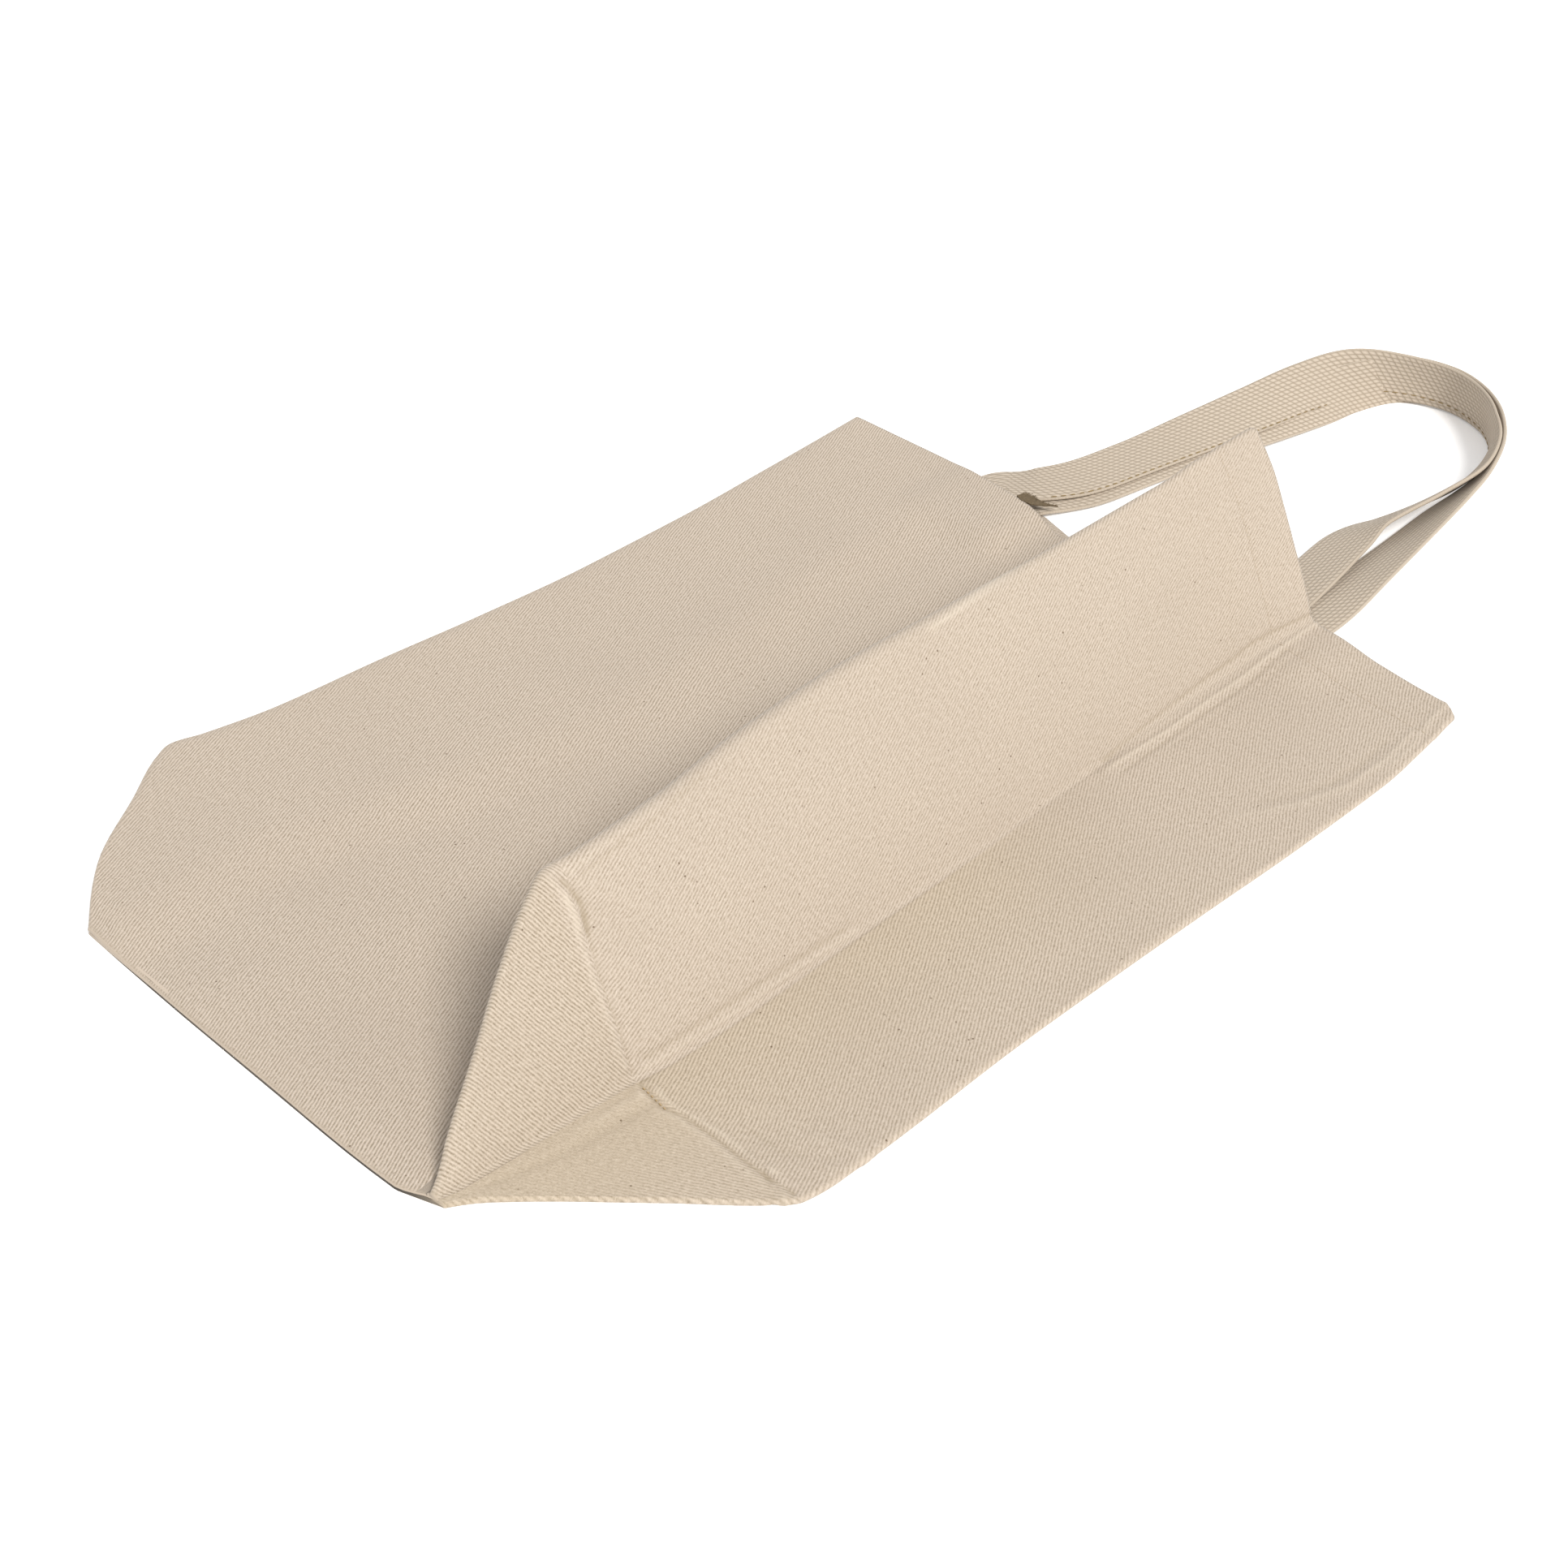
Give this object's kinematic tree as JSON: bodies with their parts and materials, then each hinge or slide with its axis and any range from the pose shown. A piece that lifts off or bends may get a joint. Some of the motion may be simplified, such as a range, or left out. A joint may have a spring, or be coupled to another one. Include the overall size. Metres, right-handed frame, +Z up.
{
  "type": "tote bag",
  "caption": "Natural cotton tote bag with a boxed bottom and side gussets, lying folded on a table with its webbing handles laid out.",
  "frame": {"origin": "middle of the bounding box in plan, on the plane of the table the bag lies on", "axes": "+Y from the bag's bottom fold to its mouth and handles, +Z up from the table, +X from the far folded side to the open side gusset"},
  "size_m": [0.3676, 0.708, 0.082],
  "materials": {
    "cotton_twill": "matte undyed twill with dark seed flecks",
    "cotton_webbing": "matte undyed woven webbing"
  },
  "bodies": {
    "root": {"body_cloth": "cotton_twill", "front_handle": "cotton_webbing", "back_handle": "cotton_webbing"}
  },
  "joints": []
}
